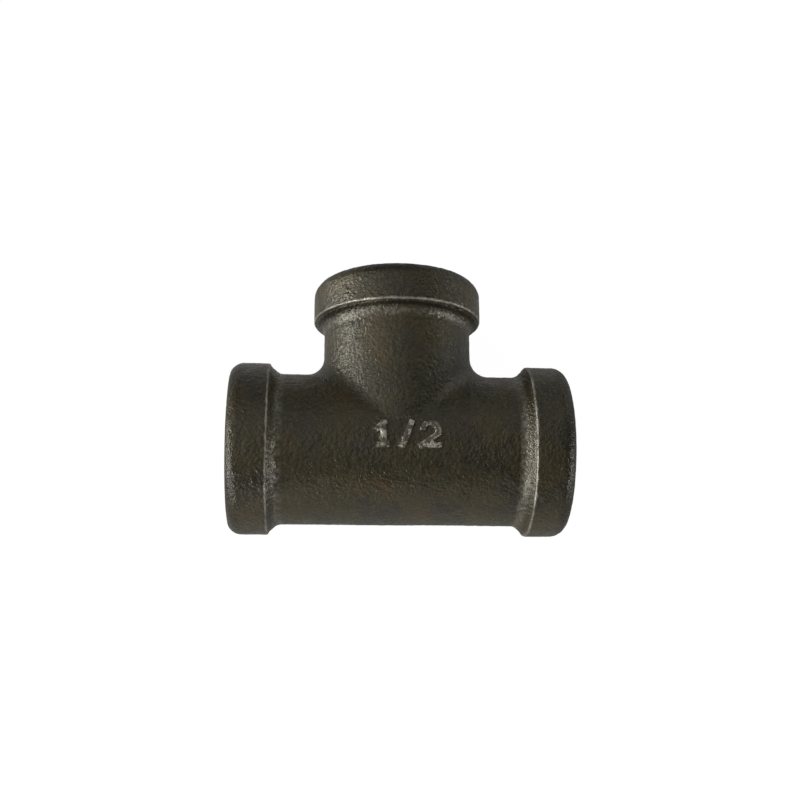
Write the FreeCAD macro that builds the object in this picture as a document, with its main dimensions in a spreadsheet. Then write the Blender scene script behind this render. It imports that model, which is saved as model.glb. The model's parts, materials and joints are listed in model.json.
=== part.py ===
import FreeCAD, Part
import os
import Sketcher

# Half-inch female pipe tee: one malleable iron casting with three banded, threaded ends.
#
# The tee is drawn about the point where its two axes meet: the run lies along X, the branch along +Y.
# It is then placed as it lies on a table, resting on its three bands, with Z up and the origin on the
# table under the middle of its outline. All lengths are in millimetres and angles in degrees.
#
# Each end is a thick band round a threaded bore. Behind the thread the core is wider than the pipe,
# so the three bores open into one chamber. The bore is drawn at the tap drill's size: the taper thread
# is cut outwards from that wall.

SIZES = [
    # overall: from the meeting point of the axes to the ends
    ("run_reach", 28.4),
    ("branch_reach", 29.2),
    # the band that stiffens each end
    ("band_diameter", 29.2),
    ("band_width", 6.7),
    ("band_rim_radius", 2.1),
    ("band_edge_radius", 0.35),
    # the step down from the band, and the slope from there to the tube
    ("band_step", 0.4),
    ("shoulder_length", 1.5),
    ("shoulder_root_radius", 1.7),
    # the tubes between the bands: the neck of the branch is a little slimmer than the run
    ("tube_diameter", 25.7),
    ("neck_setback", 0.1),
    ("junction_radius", 3.3),
    # the hollow: a countersunk mouth, a straight bore for the thread, and the cored chamber
    ("bore_diameter", 18.26),
    ("bore_length", 13.6),
    ("mouth_diameter", 21.9),
    ("mouth_depth", 1.8),
    ("chamber_diameter", 20.9),
    ("chamber_slope", 1.0),
    # the raised size mark on the run: a plain 1, a slanted stroke and a 2
    ("mark_height", 4.6),
    ("mark_relief", 0.45),
    ("mark_stroke", 0.95),
    ("mark_pitch", 3.8),
    ("mark_offset", 0.8),
    ("slant_lean", 1.5),
    ("one_flag", 0.9),
    ("one_foot", 1.9),
    ("two_width", 3.5),
    ("two_hook_angle", 30),
]

doc = FreeCAD.newDocument("PipeTee")


def make_sheet():
    """The driving sizes, one row each: a name and a plain number."""
    sheet = doc.addObject("Spreadsheet::Sheet", "Sizes")
    for row, (name, value) in enumerate(SIZES, start=1):
        sheet.set("A%d" % row, name)
        sheet.set("B%d" % row, str(value))
        sheet.setAlias("B%d" % row, name)
    doc.recompute()
    return sheet


sheet = make_sheet()

# How much of the plain wall beside it a fillet may take up
FILLET_SHARE = 0.9

# Formulas that several features share
BAND_RADIUS = "Sizes.band_diameter / 2"
SHOULDER_RADIUS = BAND_RADIUS + " - Sizes.band_step"
TUBE_RADIUS = "Sizes.tube_diameter / 2"
NECK_RADIUS = TUBE_RADIUS + " - Sizes.neck_setback"
MOUTH_RADIUS = "Sizes.mouth_diameter / 2"
BORE_RADIUS = "Sizes.bore_diameter / 2"
CHAMBER_RADIUS = "Sizes.chamber_diameter / 2"
NECK_CHAMBER_RADIUS = CHAMBER_RADIUS + " - Sizes.neck_setback"


def origin_feature(body, role):
    return next(feature for feature in body.Origin.OriginFeatures if feature.Role == role)


def closed_outline(body, name, corners):
    """A sketch of straight sides on the plane of the axes. Each corner is a pair of formulas, x and y."""
    sketch = body.newObject("Sketcher::SketchObject", name)
    sketch.AttachmentSupport = (origin_feature(body, "XY_Plane"), [""])
    sketch.MapMode = "FlatFace"

    # The corners start spread round a circle, and their dimensions then pull them to their places.
    count = len(corners)
    start = FreeCAD.Vector(sheet.run_reach, 0, 0)
    turn = FreeCAD.Rotation(FreeCAD.Vector(0, 0, 1), 360 / count)
    guesses = [start]
    for _ in range(count - 1):
        guesses.append(turn.multVec(guesses[-1]))
    for index, guess in enumerate(guesses):
        sketch.addGeometry(Part.LineSegment(guess, guesses[(index + 1) % count]), False)
    for index in range(count):
        sketch.addConstraint(Sketcher.Constraint("Coincident", index, 2, (index + 1) % count, 1))

    for index, (x, y) in enumerate(corners):
        for kind, formula, axis in (("DistanceX", x, -2), ("DistanceY", y, -1)):
            if formula == "0":
                sketch.addConstraint(Sketcher.Constraint("PointOnObject", index, 1, axis))
                continue
            size = sketch.addConstraint(Sketcher.Constraint(kind, -1, 1, index, 1, 1.0))
            sketch.setExpression("Constraints[%d]" % size, formula)
    doc.recompute()
    return sketch


def turned(body, kind, name, sketch, axis):
    """The outline turned once round an axis of its sketch, as added or as removed material."""
    feature = body.newObject(kind, name)
    feature.Profile = sketch
    feature.ReferenceAxis = (sketch, [axis])
    feature.Angle = 360
    doc.recompute()
    return feature


def rounded(body, name, edges, radius):
    """A fillet on some edges of the body as it stands, with its radius tied to a formula."""
    base = body.Tip
    feature = body.newObject("PartDesign::Fillet", name)
    feature.Base = (base, edges)
    feature.setExpression("Radius", radius)
    doc.recompute()
    return feature


def ring_edges(shape, radius, centres):
    """The names of the full circles of that radius round any of those centres."""
    names = []
    for number, edge in enumerate(shape.Edges, start=1):
        if not isinstance(edge.Curve, Part.Circle) or not edge.isClosed():
            continue
        if abs(edge.Curve.Radius - radius) > 1e-4:
            continue
        for centre in centres:
            if edge.Curve.Center.distanceToPoint(centre) < 1e-4:
                names.append("Edge%d" % number)
    return names


def crossing_edges(shape, radius_one, radius_two):
    """The names of the edges where a tube of one radius meets the crossing tube of the other."""
    names = []
    for number, edge in enumerate(shape.Edges, start=1):
        surfaces = [face.Surface for face in shape.ancestorsOfType(edge, Part.Face)]
        if len(surfaces) != 2 or not all(isinstance(surface, Part.Cylinder) for surface in surfaces):
            continue
        crossing = abs(surfaces[0].Axis.dot(surfaces[1].Axis)) < 1e-6
        radii = sorted(surface.Radius for surface in surfaces)
        wanted = sorted((radius_one, radius_two))
        if crossing and all(abs(a - b) < 1e-4 for a, b in zip(radii, wanted)):
            names.append("Edge%d" % number)
    return names


# Outlines of one arm, from its open end inwards: distance along the axis, and radius


def band_start(reach):
    return reach + " - Sizes.band_width"


def shoulder_start(reach):
    return band_start(reach) + " - Sizes.shoulder_length"


def outer_side(reach):
    return [
        (reach, "0"),
        (reach, BAND_RADIUS),
        (band_start(reach), BAND_RADIUS),
        (band_start(reach), SHOULDER_RADIUS),
        (shoulder_start(reach), TUBE_RADIUS),
    ]


def inner_side(reach):
    mouth_end = reach + " - Sizes.mouth_depth"
    bore_end = reach + " - Sizes.bore_length"
    chamber_start = bore_end + " - Sizes.chamber_slope"
    return [
        (reach, "0"),
        (reach, MOUTH_RADIUS),
        (mouth_end, BORE_RADIUS),
        (bore_end, BORE_RADIUS),
        (chamber_start, CHAMBER_RADIUS),
    ]


def both_ways(side):
    """The outline of the run: one arm along +X, and its mirror image along -X."""
    return side + [("-(%s)" % along, radius) for along, radius in reversed(side)]


def one_way(side, root_radius):
    """The outline of the branch: its arm along +Y, ended at the meeting point of the axes."""
    last_along = side[-1][0]
    arm = side[:-1] + [(last_along, root_radius), ("0", root_radius), ("0", "0")]
    return [(radius, along) for along, radius in arm]


def make_casting():
    """The iron tee without its size mark."""
    body = doc.addObject("PartDesign::Body", "Casting")
    run_reach = "Sizes.run_reach"
    branch_reach = "Sizes.branch_reach"

    # The solid outside
    run_outline = closed_outline(body, "RunOutline", both_ways(outer_side(run_reach)))
    turned(body, "PartDesign::Revolution", "Run", run_outline, "H_Axis")
    branch_outline = closed_outline(body, "BranchOutline", one_way(outer_side(branch_reach), NECK_RADIUS))
    turned(body, "PartDesign::Revolution", "Branch", branch_outline, "V_Axis")

    # The rounded edges of the bands, and the soft corner where the neck leaves the run
    def arm_points(inset):
        run_at = sheet.run_reach - inset
        branch_at = sheet.branch_reach - inset
        return [
            FreeCAD.Vector(-run_at, 0, 0),
            FreeCAD.Vector(run_at, 0, 0),
            FreeCAD.Vector(0, branch_at, 0),
        ]

    band_radius = sheet.band_diameter / 2
    tube_radius = sheet.tube_diameter / 2
    neck_radius = tube_radius - sheet.neck_setback
    shoulder_inset = sheet.band_width + sheet.shoulder_length

    # The junction's fillet takes its size, or as much of the plain tube beside it as there is.
    run_room = "%s - Sizes.shoulder_root_radius - (%s)" % (shoulder_start(run_reach), NECK_RADIUS)
    neck_room = "%s - Sizes.shoulder_root_radius - %s" % (shoulder_start(branch_reach), TUBE_RADIUS)
    junction_radius = "min(Sizes.junction_radius; %s * (%s); %s * (%s))" % (
        FILLET_SHARE, run_room, FILLET_SHARE, neck_room)
    junction = crossing_edges(body.Shape, tube_radius, neck_radius)
    rounded(body, "JunctionFillet", junction, junction_radius)
    rims = ring_edges(body.Shape, band_radius, arm_points(0))
    rounded(body, "BandRims", rims, "Sizes.band_rim_radius")
    band_edges = ring_edges(body.Shape, band_radius, arm_points(sheet.band_width))
    edge_radius = "min(Sizes.band_edge_radius; %s * Sizes.band_step)" % FILLET_SHARE
    rounded(body, "BandEdges", band_edges, edge_radius)
    roots = ring_edges(body.Shape, tube_radius, arm_points(shoulder_inset))
    roots += ring_edges(body.Shape, neck_radius, arm_points(shoulder_inset))
    rounded(body, "ShoulderRoots", roots, "Sizes.shoulder_root_radius")

    # The hollow
    run_hollow = closed_outline(body, "RunHollowOutline", both_ways(inner_side(run_reach)))
    turned(body, "PartDesign::Groove", "RunHollow", run_hollow, "H_Axis")
    branch_hollow = closed_outline(
        body, "BranchHollowOutline", one_way(inner_side(branch_reach), NECK_CHAMBER_RADIUS)
    )
    turned(body, "PartDesign::Groove", "BranchHollow", branch_hollow, "V_Axis")
    return body


# The size mark. Its strokes are upright bars that start inside the wall and are trimmed to a cylinder
# just outside the run, so their tops follow its curve.

MARK_BASE = "(Sizes.tube_diameter + Sizes.chamber_diameter) / 4"
MARK_TOP = TUBE_RADIUS + " + Sizes.mark_relief"
MARK_BAR_HEIGHT = "%s - %s" % (MARK_TOP, MARK_BASE)
HALF_STROKE = "Sizes.mark_stroke / 2"
# the centre lines of the lowest and the highest strokes
MARK_LOW = "(Sizes.mark_stroke - Sizes.mark_height) / 2"
MARK_HIGH = "(Sizes.mark_height - Sizes.mark_stroke) / 2"


def straight_stroke(name, start, end):
    """A bar whose centre line runs from one point to another, square at both ends."""
    across = "(%s - (%s))" % (end[0], start[0])
    along = "(%s - (%s))" % (end[1], start[1])
    angle = "atan2(%s; %s)" % (along, across)
    bar = doc.addObject("Part::Box", name)
    bar.setExpression("Length", "hypot(%s; %s) + Sizes.mark_stroke" % (across, along))
    bar.setExpression("Width", "Sizes.mark_stroke")
    bar.setExpression("Height", MARK_BAR_HEIGHT)
    bar.Placement = FreeCAD.Placement(FreeCAD.Vector(), FreeCAD.Rotation(FreeCAD.Vector(0, 0, 1), 1))
    bar.setExpression("Placement.Rotation.Angle", angle)
    corner_x = "%s + %s * (sin(%s) - cos(%s))" % (start[0], HALF_STROKE, angle, angle)
    corner_y = "%s - %s * (sin(%s) + cos(%s))" % (start[1], HALF_STROKE, angle, angle)
    bar.setExpression("Placement.Base.x", corner_x)
    bar.setExpression("Placement.Base.y", corner_y)
    bar.setExpression("Placement.Base.z", MARK_BASE)
    return bar


def make_one():
    """The 1: a stem with a flag at its top and a foot."""
    stem_x = "Sizes.mark_offset - Sizes.mark_pitch"
    flag_x = stem_x + " - Sizes.one_flag"
    foot_from = stem_x + " - Sizes.one_foot / 2 + " + HALF_STROKE
    foot_to = stem_x + " + Sizes.one_foot / 2 - " + HALF_STROKE
    return [
        straight_stroke("OneStem", (stem_x, MARK_LOW), (stem_x, MARK_HIGH)),
        straight_stroke("OneFlag", (flag_x, MARK_HIGH + " - Sizes.one_flag"), (stem_x, MARK_HIGH)),
        straight_stroke("OneFoot", (foot_from, MARK_LOW), (foot_to, MARK_LOW)),
    ]


def make_slant():
    """The slanted stroke between the two figures."""
    low = ("Sizes.mark_offset - Sizes.slant_lean / 2", MARK_LOW)
    high = ("Sizes.mark_offset + Sizes.slant_lean / 2", MARK_HIGH)
    return [straight_stroke("Slant", low, high)]


def make_two():
    """The 2: a round top from its left end to the hook on its right, a slope and a foot."""
    middle_x = "Sizes.mark_offset + Sizes.mark_pitch"
    outer_radius = "Sizes.two_width / 2"
    line_radius = "(Sizes.two_width - Sizes.mark_stroke) / 2"
    middle_y = "Sizes.mark_height / 2 - " + outer_radius
    disc = doc.addObject("Part::Cylinder", "TwoDisc")
    disc.setExpression("Radius", outer_radius)
    disc.setExpression("Angle", "180 + Sizes.two_hook_angle")
    core = doc.addObject("Part::Cylinder", "TwoCore")
    core.setExpression("Radius", outer_radius + " - Sizes.mark_stroke")
    for cylinder in (disc, core):
        cylinder.setExpression("Height", MARK_BAR_HEIGHT)
        cylinder.Placement = FreeCAD.Placement(
            FreeCAD.Vector(), FreeCAD.Rotation(FreeCAD.Vector(0, 0, 1), -1)
        )
        cylinder.setExpression("Placement.Rotation.Angle", "0 - Sizes.two_hook_angle")
        cylinder.setExpression("Placement.Base.x", middle_x)
        cylinder.setExpression("Placement.Base.y", middle_y)
        cylinder.setExpression("Placement.Base.z", MARK_BASE)
    top = doc.addObject("Part::Cut", "TwoTop")
    top.Base = disc
    top.Tool = core

    hook = (
        "%s + %s * cos(Sizes.two_hook_angle)" % (middle_x, line_radius),
        "%s - %s * sin(Sizes.two_hook_angle)" % (middle_y, line_radius),
    )
    foot_from = (middle_x + " - " + line_radius, MARK_LOW)
    foot_to = (middle_x + " + " + line_radius, MARK_LOW)
    return [
        top,
        straight_stroke("TwoSlope", foot_from, hook),
        straight_stroke("TwoFoot", foot_from, foot_to),
    ]


def make_mark():
    """The whole size mark, trimmed to stand out from the run by its relief."""
    strokes = doc.addObject("Part::MultiFuse", "MarkStrokes")
    strokes.Shapes = make_one() + make_slant() + make_two()
    skin = doc.addObject("Part::Cylinder", "MarkSkin")
    skin.setExpression("Radius", MARK_TOP)
    skin.setExpression("Height", "2 * Sizes.run_reach")
    skin.Placement = FreeCAD.Placement(
        FreeCAD.Vector(), FreeCAD.Rotation(FreeCAD.Vector(0, 1, 0), 90)
    )
    skin.setExpression("Placement.Base.x", "0 - Sizes.run_reach")
    mark = doc.addObject("Part::Common", "SizeMark")
    mark.Base = strokes
    mark.Tool = skin
    doc.recompute()
    return mark


def make_tee():
    """The finished fitting, laid down on its three bands."""
    tee = doc.addObject("Part::Fuse", "PipeTee")
    tee.Label = "pipe_tee"
    tee.Base = make_casting()
    tee.Tool = make_mark()
    tee.setExpression("Placement.Base.y", "(%s - Sizes.branch_reach) / 2" % BAND_RADIUS)
    tee.setExpression("Placement.Base.z", BAND_RADIUS)
    doc.recompute()
    return tee


def check(parts):
    """Stops before anything is written if an object failed or a part has no sound solid."""
    for item in doc.Objects:
        if "Invalid" in item.State or "Error" in item.State:
            raise RuntimeError("%s failed: %s" % (item.Label, item.State))
    for part in parts:
        if part.Shape.isNull() or not part.Shape.isValid() or len(part.Shape.Solids) != 1:
            raise RuntimeError("%s isn't one sound solid" % part.Label)


parts = [make_tee()]
check(parts)
os.makedirs("parts", exist_ok=True)
for part in parts:
    part.Shape.exportStep("parts/%s.step" % part.Label)
    box = part.Shape.optimalBoundingBox()
    print("%s: %.2f x %.2f x %.2f mm, volume %.1f mm3" % (
        part.Label, box.XLength, box.YLength, box.ZLength, part.Shape.Volume))
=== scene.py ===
import json
import math

import bmesh
import bpy
import numpy as np
from mathutils import Matrix, Vector, noise


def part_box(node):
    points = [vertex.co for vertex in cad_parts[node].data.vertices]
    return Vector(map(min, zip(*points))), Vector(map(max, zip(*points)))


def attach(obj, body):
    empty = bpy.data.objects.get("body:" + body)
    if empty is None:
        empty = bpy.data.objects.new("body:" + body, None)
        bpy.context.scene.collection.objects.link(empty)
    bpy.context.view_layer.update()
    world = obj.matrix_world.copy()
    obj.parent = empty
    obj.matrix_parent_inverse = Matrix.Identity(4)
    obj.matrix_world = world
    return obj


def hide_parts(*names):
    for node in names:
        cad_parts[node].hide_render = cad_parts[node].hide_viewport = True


# A half-inch female pipe tee in black malleable iron, lying on a pale floor and seen from above.
#
# Shapes are worked out in millimetres about the point where the tee's two axes meet: X along the run,
# +Y along the branch, Z up. place() then moves a finished mesh to the frame, in metres.

MM = 0.001

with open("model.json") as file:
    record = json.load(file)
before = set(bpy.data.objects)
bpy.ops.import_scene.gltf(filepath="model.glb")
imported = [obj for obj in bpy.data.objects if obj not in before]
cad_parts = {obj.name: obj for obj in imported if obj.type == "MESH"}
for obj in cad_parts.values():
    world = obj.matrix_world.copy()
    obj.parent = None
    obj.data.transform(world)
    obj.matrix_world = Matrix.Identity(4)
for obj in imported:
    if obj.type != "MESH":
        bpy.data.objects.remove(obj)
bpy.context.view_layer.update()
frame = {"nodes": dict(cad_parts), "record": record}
tee_low, tee_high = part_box("pipe_tee")
mounts = {mount["name"]: mount for mount in frame["record"]["mounts"]}

# Sizes read from the frame
BAND_RADIUS = (tee_high.z - tee_low.z) / 2 / MM
CENTRE = Vector((0.0, tee_low.y + BAND_RADIUS * MM, tee_low.z + BAND_RADIUS * MM))
RUN_REACH = tee_high.x / MM
BRANCH_REACH = (tee_high.y - CENTRE.y) / MM
BORE_RADIUS = mounts["run_right"]["dims"]["r_mm"]
BORE_WALL = mounts["run_right"]["dims"]["length_mm"]
MOUTH_DEPTH = RUN_REACH - mounts["run_right"]["pos_m"][0] / MM - BORE_WALL / 2
BORE_DEPTH = MOUTH_DEPTH + BORE_WALL

# The hollow
MOUTH_RADIUS = 10.95
CHAMBER_RADIUS = 10.45
CHAMBER_SLOPE = 1.0

# Half-inch taper pipe thread
PITCH = 25.4 / 14
TAPER = 1 / 32
THREAD_MOUTH_RADIUS = 10.55
THREAD_ROOT_FLAT = 0.12
FLANK_SLOPE = math.sqrt(3)

# How finely the skin, the core and the thread are meshed
SKIN_CELL = 0.15
SKIN_TRIANGLES = 160000
CORE_CELL = 0.60
THREAD_STEPS = 96
TURNED_STEPS = 128
SLIVER = 0.0001

# The casting skin
END_STOCK = 0.15
GRAIN = ((1.0, 0.035), (0.55, 0.030))
WAVE = ((9.0, 0.05), (4.0, 0.02))
GRAIN_DEPTH = 0.04

# How wide the bands are, and where the raised size mark lies on the run
BAND_WIDTH = 6.7
TUBE_RADIUS = 12.85
MARK_FOOT_RADIUS = TUBE_RADIUS + 0.08
MARK_TOP_RADIUS = TUBE_RADIUS + 0.28
MARK_MIDDLE = 0.8
MARK_HALF_LENGTH = 6.3
MARK_HALF_HEIGHT = 2.7
MARK_ROUNDS = 6

SKIN_SLOT = 0
CUT_SLOT = 1
FACE_SLOT = 2


# Meshes

def new_object(name, points, faces, slot=SKIN_SLOT):
    """A mesh object in millimetres, with all its faces in one material slot."""
    mesh = bpy.data.meshes.new(name)
    mesh.from_pydata([tuple(p) for p in points], [], faces)
    mesh.validate()
    mesh.update()
    for material in FINISHES:
        mesh.materials.append(material)
    mesh.polygons.foreach_set("material_index", [slot] * len(mesh.polygons))
    piece = bpy.data.objects.new(name, mesh)
    bpy.context.scene.collection.objects.link(piece)
    return piece


def apply_modifiers(piece):
    """Leaves the piece with its mesh as its modifiers show it, and no modifiers."""
    graph = bpy.context.evaluated_depsgraph_get()
    shown = bpy.data.meshes.new_from_object(piece.evaluated_get(graph))
    piece.modifiers.clear()
    old = piece.data
    piece.data = shown
    bpy.data.meshes.remove(old)


def remeshed(piece, cell):
    modifier = piece.modifiers.new("Cells", "REMESH")
    modifier.mode = "VOXEL"
    modifier.voxel_size = cell
    apply_modifiers(piece)


def smoothed(piece, rounds):
    modifier = piece.modifiers.new("Smooth", "SMOOTH")
    modifier.factor = 0.5
    modifier.iterations = rounds
    apply_modifiers(piece)


def softened(piece, chosen, rounds):
    """Smooths only the chosen points."""
    group = piece.vertex_groups.new(name="soft")
    group.add([int(number) for number in np.flatnonzero(chosen)], 1.0, "REPLACE")
    modifier = piece.modifiers.new("Soften", "SMOOTH")
    modifier.vertex_group = "soft"
    modifier.factor = 0.5
    modifier.iterations = rounds
    apply_modifiers(piece)
    piece.vertex_groups.clear()


def pulled_onto(piece, target):
    """Moves each point of the piece to the nearest point of the target's surface."""
    modifier = piece.modifiers.new("Pull", "SHRINKWRAP")
    modifier.wrap_method = "NEAREST_SURFACEPOINT"
    modifier.target = target
    apply_modifiers(piece)


def thinned(piece, triangles):
    """Merges short edges until the piece has about so many triangles."""
    now = sum(len(face.vertices) - 2 for face in piece.data.polygons)
    modifier = piece.modifiers.new("Thin", "DECIMATE")
    modifier.ratio = min(triangles / now, 1.0)
    apply_modifiers(piece)


def turned(name, profile, steps, slot):
    """A closed solid of revolution about X from (along, radius) pairs that start and end on the axis."""
    points = [(profile[0][0], 0.0, 0.0), (profile[-1][0], 0.0, 0.0)]
    rings = profile[1:-1]
    for along, radius in rings:
        for step in range(steps):
            angle = 2 * math.pi * step / steps
            points.append((along, radius * math.cos(angle), radius * math.sin(angle)))
    faces = []
    last = 2 + (len(rings) - 1) * steps
    for step in range(steps):
        after = (step + 1) % steps
        faces.append((0, 2 + step, 2 + after))
        faces.append((1, last + after, last + step))
        for ring in range(len(rings) - 1):
            near = 2 + ring * steps
            far = near + steps
            faces.append((near + step, far + step, far + after, near + after))
    piece = new_object(name, points, faces, slot)
    outward(piece)
    return piece


def outward(piece):
    """Turns all the faces of a closed mesh to face out."""
    shape = bmesh.new()
    shape.from_mesh(piece.data)
    bmesh.ops.recalc_face_normals(shape, faces=shape.faces)
    shape.to_mesh(piece.data)
    shape.free()


def joined(pieces):
    """Several closed meshes as one object."""
    first = pieces[0]
    shape = bmesh.new()
    for piece in pieces:
        shape.from_mesh(piece.data)
    shape.to_mesh(first.data)
    shape.free()
    for piece in pieces[1:]:
        bpy.data.objects.remove(piece)
    return first


def points_of(mesh):
    flat = np.empty(len(mesh.vertices) * 3, np.float32)
    mesh.vertices.foreach_get("co", flat)
    return flat.reshape(-1, 3).astype(float)


def set_points(mesh, points):
    mesh.vertices.foreach_set("co", points.astype(np.float32).ravel())
    mesh.update()


def normals_of(mesh):
    flat = np.empty(len(mesh.vertices) * 3, np.float32)
    mesh.vertices.foreach_get("normal", flat)
    return flat.reshape(-1, 3).astype(float)


def roughened(piece, octaves, seed, sink=0.0):
    """Moves each point along its normal by smooth noise: pairs of wavelength and height."""
    points = points_of(piece.data)
    normals = normals_of(piece.data)
    shift = np.full(len(points), -sink)
    for number, (length, height) in enumerate(octaves):
        offset = Vector((seed, 7.3 * number, 3.1 * seed))
        shift += height * np.array([noise.noise(Vector(p) / length + offset) for p in points])
    set_points(piece.data, points + normals * shift[:, None])


# Directions of the three ends: each is a turn about Z from +X, and its reach

ENDS = (
    ("right", 0.0, RUN_REACH),
    ("left", math.pi, RUN_REACH),
    ("branch", math.pi / 2, BRANCH_REACH),
)


def swung(piece, angle):
    piece.data.transform(Matrix.Rotation(angle, 4, "Z"))
    return piece


def make_raw_skin():
    """The outside of the casting as one closed skin with no hollow, a little long at its ends."""
    source = frame["nodes"]["pipe_tee"].data
    points = [(vertex.co - CENTRE) / MM for vertex in source.vertices]
    shell = new_object("shell", points, [tuple(face.vertices) for face in source.polygons])
    plugs = [shell]
    for name, angle, reach in ENDS:
        plug = turned("plug_" + name, ((-1, 0), (-1, 11.3), (reach, 11.3), (reach, 0)), 64, SKIN_SLOT)
        plugs.append(swung(plug, angle))
    sharp = joined(plugs)
    skin = bpy.data.objects.new("skin", sharp.data.copy())
    bpy.context.scene.collection.objects.link(skin)
    remeshed(skin, SKIN_CELL)
    smoothed(skin, 2)
    pulled_onto(skin, sharp)
    bpy.data.objects.remove(sharp)

    # The size mark has cast soft
    x, y, z = points_of(skin.data).T
    near_mark = (abs(x - MARK_MIDDLE) < MARK_HALF_LENGTH) & (abs(y) < MARK_HALF_HEIGHT) & (z > 0)
    softened(skin, near_mark & (np.hypot(y, z) > TUBE_RADIUS - 0.1), MARK_ROUNDS)

    # Stock on the ends, which the facing cut then takes off
    points = points_of(skin.data)
    for axis, sign, reach in ((0, 1, RUN_REACH), (0, -1, RUN_REACH), (1, 1, BRANCH_REACH)):
        depth = reach - sign * points[:, axis]
        share = np.clip(1 - depth / 1.2, 0, 1)
        points[:, axis] += sign * END_STOCK * share * share * (3 - 2 * share)
    set_points(skin.data, points)
    roughened(skin, WAVE + GRAIN, 1.0, GRAIN_DEPTH)
    thinned(skin, SKIN_TRIANGLES)
    return skin


def make_core():
    """The cored chamber: the wide middle of both bores, with a soft edge where they cross."""
    half = RUN_REACH - BORE_DEPTH - CHAMBER_SLOPE
    branch_end = BRANCH_REACH - BORE_DEPTH - CHAMBER_SLOPE
    slope = (CHAMBER_RADIUS - BORE_RADIUS) / CHAMBER_SLOPE
    nose = CHAMBER_SLOPE + 0.6
    nose_radius = CHAMBER_RADIUS - slope * nose
    run = turned(
        "core_run",
        ((-half - nose, 0), (-half - nose, nose_radius), (-half, CHAMBER_RADIUS),
         (half, CHAMBER_RADIUS), (half + nose, nose_radius), (half + nose, 0)),
        96, SKIN_SLOT)
    arm = turned(
        "core_branch",
        ((0, 0), (0, CHAMBER_RADIUS - 0.1), (branch_end, CHAMBER_RADIUS - 0.1),
         (branch_end + nose, nose_radius), (branch_end + nose, 0)),
        96, SKIN_SLOT)
    swung(arm, math.pi / 2)
    core = joined([run, arm])
    remeshed(core, CORE_CELL)
    smoothed(core, 3)
    roughened(core, ((3.0, 0.10), (1.4, 0.05)), 2.0)
    return core


def make_facing(name, angle, reach):
    """The cutter that faces an end and gives its mouth a 45 degree lead."""
    inner = 0.6
    profile = (
        (reach - MOUTH_DEPTH - inner, 0),
        (reach - MOUTH_DEPTH - inner, BORE_RADIUS - inner),
        (reach, MOUTH_RADIUS),
        (reach, BAND_RADIUS + 2),
        (reach + 2, BAND_RADIUS + 2),
        (reach + 2, 0),
    )
    facing = turned("facing_" + name, profile, TURNED_STEPS, CUT_SLOT)
    for face in facing.data.polygons:
        if min(facing.data.vertices[corner].co.x for corner in face.vertices) > reach - 0.001:
            face.material_index = FACE_SLOT
    return swung(facing, angle)


def make_tap(name, angle, reach):
    """The tap: a shaft of the bore's size with a tapered V thread round it, right-handed."""
    start = reach - BORE_DEPTH - CHAMBER_SLOPE - 2 * PITCH
    turns = math.ceil((reach - start) / PITCH) + 1
    points = []
    for step in range(turns * THREAD_STEPS + 1):
        along = start + PITCH * step / THREAD_STEPS
        depth = max(reach - along, 0.0)
        root = THREAD_MOUTH_RADIUS - TAPER * depth
        half = THREAD_ROOT_FLAT / 2 + (root - BORE_RADIUS) / FLANK_SLOPE
        turn = 2 * math.pi * step / THREAD_STEPS
        for offset, radius in ((-half, BORE_RADIUS), (-THREAD_ROOT_FLAT / 2, root),
                               (THREAD_ROOT_FLAT / 2, root), (half, BORE_RADIUS)):
            points.append((along + offset, radius * math.cos(turn), radius * math.sin(turn)))
    count = turns * THREAD_STEPS
    faces = []
    for step in range(count):
        here = 4 * step
        there = 4 * (step + 1)
        for row in range(3):
            faces.append((here + row, here + row + 1, there + row + 1, there + row))
    # the crest between one turn and the next
    for step in range(count - THREAD_STEPS):
        here = 4 * step
        over = 4 * (step + THREAD_STEPS)
        faces.append((here + 3, over, over + 4, here + 7))
    # both ends are closed to a point on the axis
    inner = len(points)
    points.append((start - PITCH, 0.0, 0.0))
    outer = len(points)
    points.append((start + PITCH * (turns + 1), 0.0, 0.0))
    first_loop = [4 * step for step in range(THREAD_STEPS + 1)] + [3, 2, 1]
    last_loop = [4 * step + 3 for step in range(count - THREAD_STEPS, count + 1)]
    last_loop += [4 * count + row for row in (2, 1, 0)]
    for loop, tip in ((first_loop, inner), (last_loop, outer)):
        for here, there in zip(loop, loop[1:] + loop[:1]):
            faces.append((here, there, tip))
    tap = new_object("tap_" + name, points, faces, CUT_SLOT)
    outward(tap)
    return swung(tap, angle)


def cut(piece, cutter):
    modifier = piece.modifiers.new("Cut", "BOOLEAN")
    modifier.operation = "DIFFERENCE"
    modifier.solver = "MANIFOLD"
    modifier.object = cutter
    apply_modifiers(piece)
    bpy.data.objects.remove(cutter)


def place(piece):
    """Moves a mesh from millimetres about the meeting point to the frame, within the solid's box."""
    piece.data.transform(Matrix.Translation(CENTRE) @ Matrix.Scale(MM, 4))
    set_points(piece.data, points_of(piece.data).clip(tee_low, tee_high))


def clear_slivers(piece):
    """Splits the mesh into triangles and clears those without area that the cuts leave."""
    mesh = bmesh.new()
    mesh.from_mesh(piece.data)
    bmesh.ops.triangulate(mesh, faces=mesh.faces[:])
    bmesh.ops.dissolve_degenerate(mesh, dist=SLIVER * MM, edges=mesh.edges[:])
    mesh.to_mesh(piece.data)
    mesh.free()


def make_tee():
    tee = make_raw_skin()
    cut(tee, make_core())
    for name, angle, reach in ENDS:
        cut(tee, make_facing(name, angle, reach))
        cut(tee, make_tap(name, angle, reach))
    place(tee)
    clear_slivers(tee)
    tee.name = "tee_casting"
    return tee


# Materials

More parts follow.
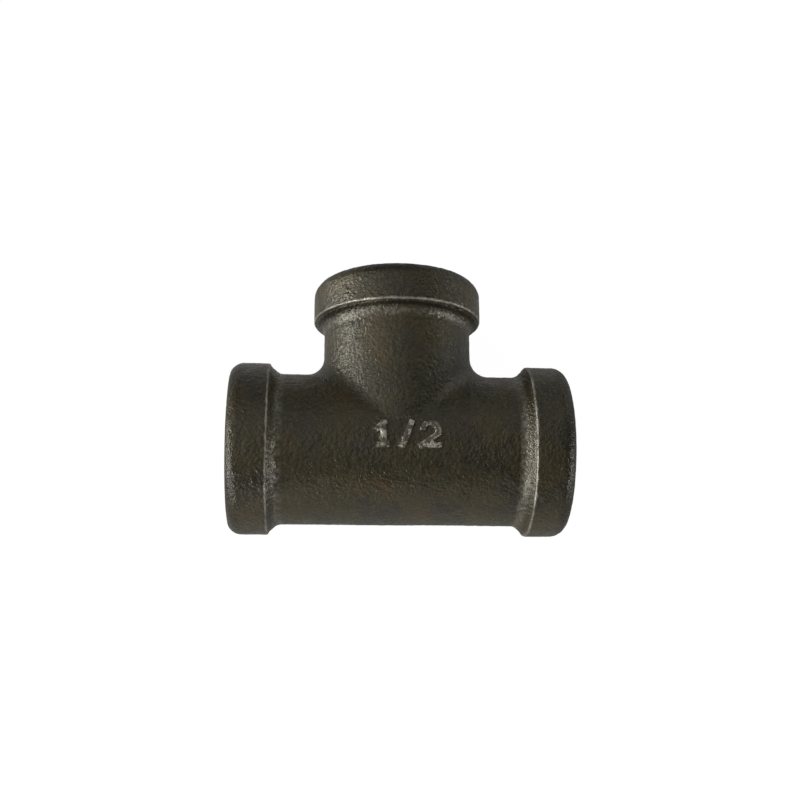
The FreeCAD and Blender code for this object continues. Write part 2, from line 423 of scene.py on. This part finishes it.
class Nodes:
    """Short ways to build a material's nodes."""

    def __init__(self, name):
        self.material = bpy.data.materials.new(name)
        self.material.use_nodes = True
        self.tree = self.material.node_tree
        self.tree.nodes.clear()

    def add(self, kind, inputs=None, **settings):
        node = self.tree.nodes.new(kind)
        for key, value in settings.items():
            setattr(node, key, value)
        for key, value in (inputs or {}).items():
            self.feed(node.inputs[key], value)
        return node

    def feed(self, socket, value):
        if isinstance(value, bpy.types.NodeSocket):
            self.tree.links.new(value, socket)
        else:
            socket.default_value = value

    def millimetres(self):
        """Object coordinates in millimetres."""
        place = self.add("ShaderNodeTexCoord").outputs["Object"]
        scaled = self.add("ShaderNodeVectorMath", {0: place, "Scale": 1 / MM}, operation="SCALE")
        return scaled.outputs["Vector"]

    def noise(self, place, per_mm, detail=2.0, rough=0.5):
        return self.add("ShaderNodeTexNoise", {"Vector": place, "Scale": per_mm, "Detail": detail,
                                               "Roughness": rough}).outputs["Fac"]

    def ramp(self, value, low, high, to_low=0.0, to_high=1.0):
        return self.add("ShaderNodeMapRange", {"Value": value, "From Min": low, "From Max": high,
                                               "To Min": to_low, "To Max": to_high}).outputs["Result"]

    def mix(self, share, first, second, blend="MIX"):
        node = self.add("ShaderNodeMix", data_type="RGBA", blend_type=blend)
        self.feed(node.inputs["Factor"], share)
        self.feed(node.inputs[6], first)
        self.feed(node.inputs[7], second)
        return node.outputs[2]

    def math(self, operation, first, second=0.0):
        return self.add("ShaderNodeMath", {0: first, 1: second}, operation=operation).outputs["Value"]

    def bump(self, height, distance, strength=1.0, under=None):
        node = self.add("ShaderNodeBump", {"Height": height, "Distance": distance, "Strength": strength})
        if under is not None:
            self.feed(node.inputs["Normal"], under)
        return node.outputs["Normal"]

    def finish(self, shader):
        output = self.add("ShaderNodeOutputMaterial")
        self.tree.links.new(shader.outputs[0], output.inputs["Surface"])
        return self.material


def rgb(red, green, blue):
    return (red, green, blue, 1.0)


def about_centre(n, place):
    """X, Y and Z in millimetres from the point where the tee's axes meet."""
    centre = Vector((0.0, CENTRE.y, CENTRE.z)) / MM
    apart = n.add("ShaderNodeVectorMath", {0: place, 1: centre}, operation="SUBTRACT").outputs["Vector"]
    return n.add("ShaderNodeSeparateXYZ", {"Vector": apart}).outputs


def worn_edge_highlight(n, place, along, across, up, reach):
    """1 on a band's inner edge, rubbed bare and carrying a painted highlight, and 0 elsewhere."""
    start = reach - BAND_WIDTH
    wobble = n.ramp(n.noise(place, 0.8, 3.0), 0.3, 0.7, -0.10, 0.10)
    along = n.math("ADD", along, wobble)
    band = n.ramp(along, start - 0.15, start - 0.02)
    edge = n.ramp(along, start + 0.22, start + 0.42, 1.0, 0.0)
    from_axis = n.math("SQRT", n.math("ADD", n.math("POWER", across, 2.0), n.math("POWER", up, 2.0)))
    outer = n.ramp(from_axis, BAND_RADIUS - 0.45, BAND_RADIUS - 0.25)
    return n.math("MULTIPLY", n.math("MULTIPLY", band, edge), outer)


def worn_edge_highlights(n, place):
    """The inner edges of all three bands: wear and a painted highlight."""
    axes = about_centre(n, place)
    run = worn_edge_highlight(n, place, n.math("ABSOLUTE", axes["X"]), axes["Y"], axes["Z"], RUN_REACH)
    branch = worn_edge_highlight(n, place, axes["Y"], axes["X"], axes["Z"], BRANCH_REACH)
    # patchy strength of the edge wear and its painted highlight
    rub_and_glint = n.ramp(n.noise(place, 0.25, 3.0), 0.40, 0.60, 0.35, 1.0)
    return n.math("MULTIPLY", n.math("MAXIMUM", n.math("MULTIPLY", run, 0.7), branch), rub_and_glint)


def rubbed_crest_highlight(n, along, reach):
    """1 where the shoulder beside a band is rubbed and carries a painted highlight, and 0 elsewhere."""
    start = reach - BAND_WIDTH
    inner = n.ramp(along, start - 2.5, start - 1.9)
    outer = n.ramp(along, start - 1.3, start - 0.9, 1.0, 0.0)
    return n.math("MULTIPLY", inner, outer)


def rubbed_crest_highlights(n, place):
    """The rubbed shoulders beside all three bands, with their painted highlight."""
    axes = about_centre(n, place)
    run = rubbed_crest_highlight(n, n.math("ABSOLUTE", axes["X"]), RUN_REACH)
    branch = rubbed_crest_highlight(n, axes["Y"], BRANCH_REACH)
    sparks = n.ramp(n.noise(place, 1.4, 2.0), 0.45, 0.60, 0.25, 1.0)
    return n.math("MULTIPLY", n.math("MAXIMUM", run, branch), sparks)


def groove_shade(n, along, reach):
    """1 in the groove under a band's inner edge, where shade is painted in, and 0 elsewhere."""
    start = reach - BAND_WIDTH
    inner = n.ramp(along, start - 0.85, start - 0.6)
    outer = n.ramp(along, start - 0.3, start - 0.12, 1.0, 0.0)
    return n.math("MULTIPLY", inner, outer)


def groove_shades(n, place):
    """Painted shade in the grooves under all three bands."""
    axes = about_centre(n, place)
    run = n.math("MULTIPLY", groove_shade(n, n.math("ABSOLUTE", axes["X"]), RUN_REACH), 0.4)
    return n.math("MAXIMUM", run, groove_shade(n, axes["Y"], BRANCH_REACH))


def dull_rims(n, place):
    """1 on the rounded outer rims of all three bands, which shine less, and 0 elsewhere."""
    axes = about_centre(n, place)
    run = n.ramp(n.math("ABSOLUTE", axes["X"]), RUN_REACH - 2.4, RUN_REACH - 1.2)
    branch = n.ramp(axes["Y"], BRANCH_REACH - 2.4, BRANCH_REACH - 1.2)
    return n.math("MAXIMUM", run, branch)


def worn_mark_highlight(n, place):
    """1 on the raised size mark, rubbed bare by handling and given painted glints, and 0 elsewhere."""
    axes = about_centre(n, place)
    from_axis = n.math("SQRT", n.math("ADD", n.math("POWER", axes["Y"], 2.0), n.math("POWER", axes["Z"], 2.0)))
    raised = n.ramp(from_axis, MARK_FOOT_RADIUS, MARK_TOP_RADIUS)
    beside = n.ramp(n.math("ABSOLUTE", axes["Y"]), MARK_HALF_HEIGHT, MARK_HALF_HEIGHT + 0.3, 1.0, 0.0)
    along = n.math("ABSOLUTE", n.math("SUBTRACT", axes["X"], MARK_MIDDLE))
    within = n.ramp(along, MARK_HALF_LENGTH, MARK_HALF_LENGTH + 0.3, 1.0, 0.0)
    above = n.ramp(axes["Z"], 0.0, 1.0)
    return n.math("MULTIPLY", n.math("MULTIPLY", raised, beside), n.math("MULTIPLY", within, above))


def cast_skin():
    """Black-finished cast iron: dark brown-black, grainy, with faint olive and rust patches, painted highlights
    on the worn band edges, shoulders and mark, and painted shade in the grooves under the bands.
    """
    n = Nodes("cast_skin")
    place = n.millimetres()
    blotch = n.ramp(n.noise(place, 0.15, 3.0), 0.38, 0.62)
    body = n.mix(blotch, rgb(0.022, 0.021, 0.013), rgb(0.048, 0.037, 0.013))
    speckle = n.ramp(n.noise(place, 1.5, 3.0, 0.65), 0.35, 0.65)
    mottle = n.ramp(n.noise(place, 0.55, 3.0, 0.6), 0.38, 0.62, 0.1, 0.9)
    body = n.mix(n.math("MULTIPLY", speckle, mottle), body, rgb(0.060, 0.050, 0.026))
    rust = n.ramp(n.noise(place, 0.16, 4.0, 0.6), 0.56, 0.70)
    rust = n.math("MULTIPLY", rust, n.ramp(n.noise(place, 1.1, 3.0, 0.7), 0.40, 0.60, 0.1, 0.7))
    body = n.mix(rust, body, rgb(0.080, 0.042, 0.014))
    grain = n.noise(place, 1.7, 2.0, 0.55)
    fine = n.noise(place, 3.2, 2.0, 0.6)
    normal = n.bump(grain, 0.00020, 1.0)
    normal = n.bump(fine, 0.00008, 1.0, normal)
    rough = n.ramp(n.noise(place, 0.5, 3.0), 0.35, 0.65, 0.20, 0.38)
    patches = n.ramp(n.noise(place, 0.9, 3.0), 0.48, 0.57, 0.12, 1.0)
    # Light bare-iron colour on the mark, the band edges and the shoulder crests: partly wear, partly painted
    # highlight.
    wear_and_highlights = n.math("MULTIPLY", worn_mark_highlight(n, place), patches)
    wear_and_highlights = n.math("MAXIMUM", wear_and_highlights, worn_edge_highlights(n, place))
    wear_and_highlights = n.math("MAXIMUM", wear_and_highlights, n.math("MULTIPLY", rubbed_crest_highlights(n, place), 0.22))
    # Painted shade in the grooves under the bands: near-black colour and less reflection there. The outer rims
    # are made darker and less glossy as well.
    shade_and_dull_rims = n.math("MULTIPLY", groove_shades(n, place), 0.65)
    shade_and_dull_rims = n.math("MAXIMUM", shade_and_dull_rims, n.math("MULTIPLY", dull_rims(n, place), 0.4))
    body = n.mix(shade_and_dull_rims, body, rgb(0.010, 0.009, 0.007))
    body = n.mix(wear_and_highlights, body, rgb(0.58, 0.54, 0.46))
    rough = n.math("SUBTRACT", rough, n.math("MULTIPLY", wear_and_highlights, 0.06))
    normal = n.bump(wear_and_highlights, 0.00010, 1.0, normal)
    shader = n.add("ShaderNodeBsdfPrincipled", {
        "Base Color": body, "Roughness": rough, "Normal": normal, "IOR": 1.7,
        "Specular IOR Level": n.math("SUBTRACT", 0.5, n.math("MULTIPLY", shade_and_dull_rims, 0.6)),
        "Metallic": n.math("MULTIPLY", wear_and_highlights, 0.35), "Specular Tint": rgb(1.0, 0.95, 0.80)})
    return n.finish(shader)


def faced_end():
    """The faced ends: the same black finish over fine turning marks."""
    n = Nodes("faced_end")
    place = n.millimetres()
    blotch = n.ramp(n.noise(place, 0.3, 3.0), 0.35, 0.65)
    body = n.mix(blotch, rgb(0.030, 0.027, 0.022), rgb(0.052, 0.047, 0.038))
    normal = n.bump(n.noise(place, 2.2, 3.0, 0.6), 0.00003, 1.0)
    shader = n.add("ShaderNodeBsdfPrincipled", {
        "Base Color": body, "Metallic": 0.4, "Roughness": 0.42, "Normal": normal, "IOR": 1.75})
    return n.finish(shader)


def cut_iron():
    """Tapped threads and mouths: bare oiled iron with fine turning marks."""
    n = Nodes("cut_iron")
    place = n.millimetres()
    blotch = n.ramp(n.noise(place, 0.35, 4.0, 0.6), 0.35, 0.65)
    body = n.mix(blotch, rgb(0.10, 0.095, 0.085), rgb(0.24, 0.225, 0.20))
    normal = n.bump(n.noise(place, 3.0, 3.0, 0.65), 0.00003, 1.0)
    shader = n.add("ShaderNodeBsdfPrincipled", {
        "Base Color": body, "Metallic": 0.85, "Roughness": 0.36, "Normal": normal})
    return n.finish(shader)


def pale_floor():
    """A pale floor that shows as white to the camera, and keeps a soft shadow."""
    n = Nodes("pale_floor")
    rays = n.add("ShaderNodeLightPath").outputs
    share = n.math("MULTIPLY", rays["Is Camera Ray"], FLOOR_GLOW)
    matte = n.add("ShaderNodeBsdfDiffuse", {"Color": rgb(0.82, 0.82, 0.82)})
    glow = n.add("ShaderNodeEmission", {"Color": rgb(1, 1, 1), "Strength": GLOW_STRENGTH})
    mixed = n.add("ShaderNodeMixShader")
    n.feed(mixed.inputs[0], share)
    n.feed(mixed.inputs[1], matte.outputs[0])
    n.feed(mixed.inputs[2], glow.outputs[0])
    return n.finish(mixed)


# The studio

FLOOR_GLOW = 0.88
GLOW_STRENGTH = 1.11
FLOOR_SIZE = 3.0


def make_floor():
    half = FLOOR_SIZE / 2
    mesh = bpy.data.meshes.new("floor")
    mesh.from_pydata([(-half, -half, 0), (half, -half, 0), (half, half, 0), (-half, half, 0)], [], [(0, 1, 2, 3)])
    floor = bpy.data.objects.new("floor", mesh)
    bpy.context.scene.collection.objects.link(floor)
    mesh.materials.append(pale_floor())


def make_world(strength):
    """An even, dim studio round the object, which the camera sees as white."""
    world = bpy.data.worlds.new("studio")
    world.use_nodes = True
    bpy.context.scene.world = world
    tree = world.node_tree
    tree.nodes.clear()
    rays = tree.nodes.new("ShaderNodeLightPath")
    room = tree.nodes.new("ShaderNodeBackground")
    room.inputs["Color"].default_value = rgb(1, 1, 1)
    room.inputs["Strength"].default_value = strength
    white = tree.nodes.new("ShaderNodeBackground")
    white.inputs["Color"].default_value = rgb(1, 1, 1)
    white.inputs["Strength"].default_value = 1.0
    mixed = tree.nodes.new("ShaderNodeMixShader")
    output = tree.nodes.new("ShaderNodeOutputWorld")
    tree.links.new(rays.outputs["Is Camera Ray"], mixed.inputs[0])
    tree.links.new(room.outputs[0], mixed.inputs[1])
    tree.links.new(white.outputs[0], mixed.inputs[2])
    tree.links.new(mixed.outputs[0], output.inputs["Surface"])


def make_lamp(name, direction, distance, width, height, power):
    """A soft area lamp that shines at the tee from a direction."""
    data = bpy.data.lights.new(name, "AREA")
    data.shape = "RECTANGLE"
    data.size = width
    data.size_y = height
    data.energy = power
    lamp = bpy.data.objects.new(name, data)
    way = Vector(direction).normalized()
    lamp.location = CENTRE + way * distance
    lamp.rotation_euler = way.to_track_quat("Z", "Y").to_euler()
    bpy.context.scene.collection.objects.link(lamp)


def make_camera():
    """The camera that took the photograph: close above, a little left and in front."""
    data = bpy.data.cameras.new("camera")
    data.sensor_width = 36.0
    data.lens = 36.0 * FOCAL_PIXELS / 800
    camera = bpy.data.objects.new("camera", data)
    place = CENTRE + CAMERA_PLACE * MM
    forward = (CAMERA_TARGET - CAMERA_PLACE).normalized()
    right = forward.cross(Vector((0, 1, 0))).normalized()
    up = right.cross(forward)
    roll = math.radians(CAMERA_ROLL)
    rolled_right = math.cos(roll) * right + math.sin(roll) * up
    rolled_up = -math.sin(roll) * right + math.cos(roll) * up
    turn = Matrix((rolled_right, rolled_up, -forward)).transposed().to_4x4()
    camera.matrix_world = Matrix.Translation(place) @ turn
    bpy.context.scene.collection.objects.link(camera)
    bpy.context.scene.camera = camera


CAMERA_PLACE = Vector((-12.95, -44.2, 200.0))
CAMERA_TARGET = Vector((0.53, 8.95, 0.0))
CAMERA_ROLL = -0.13
FOCAL_PIXELS = 1193.5

FINISHES = (cast_skin(), cut_iron(), faced_end())
tee = make_tee()
tee.data.shade_smooth()
tee.data.set_sharp_from_angle(angle=math.radians(50))

make_floor()
make_world(0.06)
make_lamp("top_left", (-0.42, -0.05, 0.90), 0.9, 0.90, 0.90, 1.25)
make_lamp("back", (0.15, 0.62, 0.77), 0.9, 0.80, 0.60, 0.5)
make_lamp("left", (-1.0, -0.04, 0.08), 0.9, 0.75, 0.14, 5.4)
make_lamp("right", (0.95, -0.30, 0.10), 0.9, 0.50, 0.15, 2.4)
make_lamp("back_left", (-0.68, 0.35, 0.55), 0.9, 0.45, 0.40, 0.7)
make_lamp("back_right", (0.72, 0.66, 0.24), 0.9, 0.60, 0.30, 0.6)
make_lamp("front_left", (-0.75, -0.66, 0.17), 0.9, 0.45, 0.20, 3.2)
make_lamp("front", (-0.05, -0.95, 0.25), 0.9, 0.50, 0.20, 0.35)
make_camera()
bpy.context.scene.view_settings.view_transform = "Standard"

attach(tee, "root")
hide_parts("pipe_tee")
